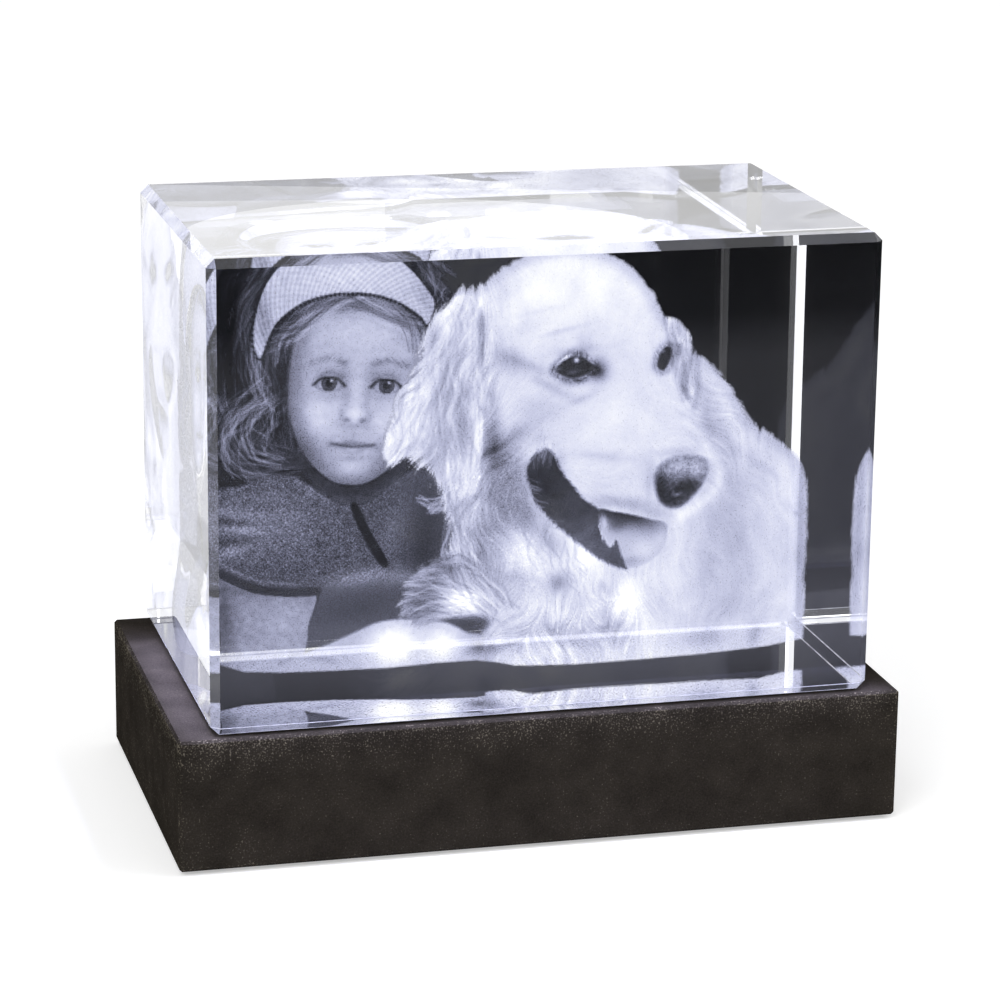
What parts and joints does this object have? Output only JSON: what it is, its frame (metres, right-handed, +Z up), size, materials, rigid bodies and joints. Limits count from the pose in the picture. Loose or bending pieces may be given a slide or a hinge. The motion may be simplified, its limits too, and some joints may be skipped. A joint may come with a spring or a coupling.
{
  "type": "engraved glass block",
  "caption": "Clear bevelled glass block with a picture engraved inside, resting on a low dark base that lights it from below; rear slide switch and hinged cell door underneath.",
  "frame": {"origin": "on the table, under the middle of the base", "axes": "+X along the width to the viewer's right, +Y away from the viewer, +Z up"},
  "size_m": [0.11, 0.061, 0.0908],
  "materials": {
    "glass": "polished, with a picture engraved inside",
    "base_plastic": "fine sandy texture",
    "clear_plastic": "clear",
    "board": "solder mask",
    "led": "lit white",
    "resistor": "matt",
    "steel": "zinc plated",
    "black_plastic": "fine moulded texture",
    "knob_plastic": "moulded",
    "rubber": "matt",
    "cell": "plain shrink wrap",
    "contact": "nickel plated",
    "red_lead": "insulation",
    "black_lead": "insulation"
  },
  "bodies": {
    "base": {"base_housing": "base_plastic", "light_window": "clear_plastic", "led_board": "board", "led_1": "led", "led_2": "led", "led_3": "led", "led_4": "led", "led_5": "led", "led_6": "led", "resistor_1": "resistor", "resistor_2": "resistor", "resistor_3": "resistor", "resistor_4": "resistor", "resistor_5": "resistor", "resistor_6": "resistor", "board_screw_1": "steel", "board_screw_2": "steel", "bottom_cover": "black_plastic", "cover_screw_1": "steel", "cover_screw_2": "steel", "cover_screw_3": "steel", "cover_screw_4": "steel", "foot_1": "rubber", "foot_2": "rubber", "foot_3": "rubber", "foot_4": "rubber", "battery_1": "cell", "battery_2": "cell", "battery_3": "cell", "contact_positive": "contact", "contact_negative": "contact", "contact_bridge_left": "contact", "contact_bridge_right": "contact", "contact_spring_1": "contact", "contact_spring_2": "contact", "contact_spring_3": "contact", "switch_body": "black_plastic", "switch_terminal_1": "contact", "switch_terminal_2": "contact", "switch_terminal_3": "contact", "wire_battery_to_switch": "red_lead", "wire_switch_to_board": "red_lead", "wire_board_to_battery": "black_lead"},
    "block": {"glass_block": "glass"},
    "switch_slider": {"switch_knob": "knob_plastic"},
    "door": {"battery_door": "black_plastic"}
  },
  "joints": [
    {"name": "block_lift", "type": "slide", "parent": "base", "child": "block", "axis": [0, 0, 1], "range_m": [0, 0.08]},
    {"name": "switch_slide", "type": "slide", "parent": "base", "child": "switch_slider", "axis": [-1, 0, 0], "range_m": [0, 0.0025]},
    {"name": "door_hinge", "type": "hinge", "parent": "base", "child": "door", "pos_m": [0, 0.01595, 0.0021], "axis": [1, 0, 0], "range_deg": [0, 95]}
  ]
}
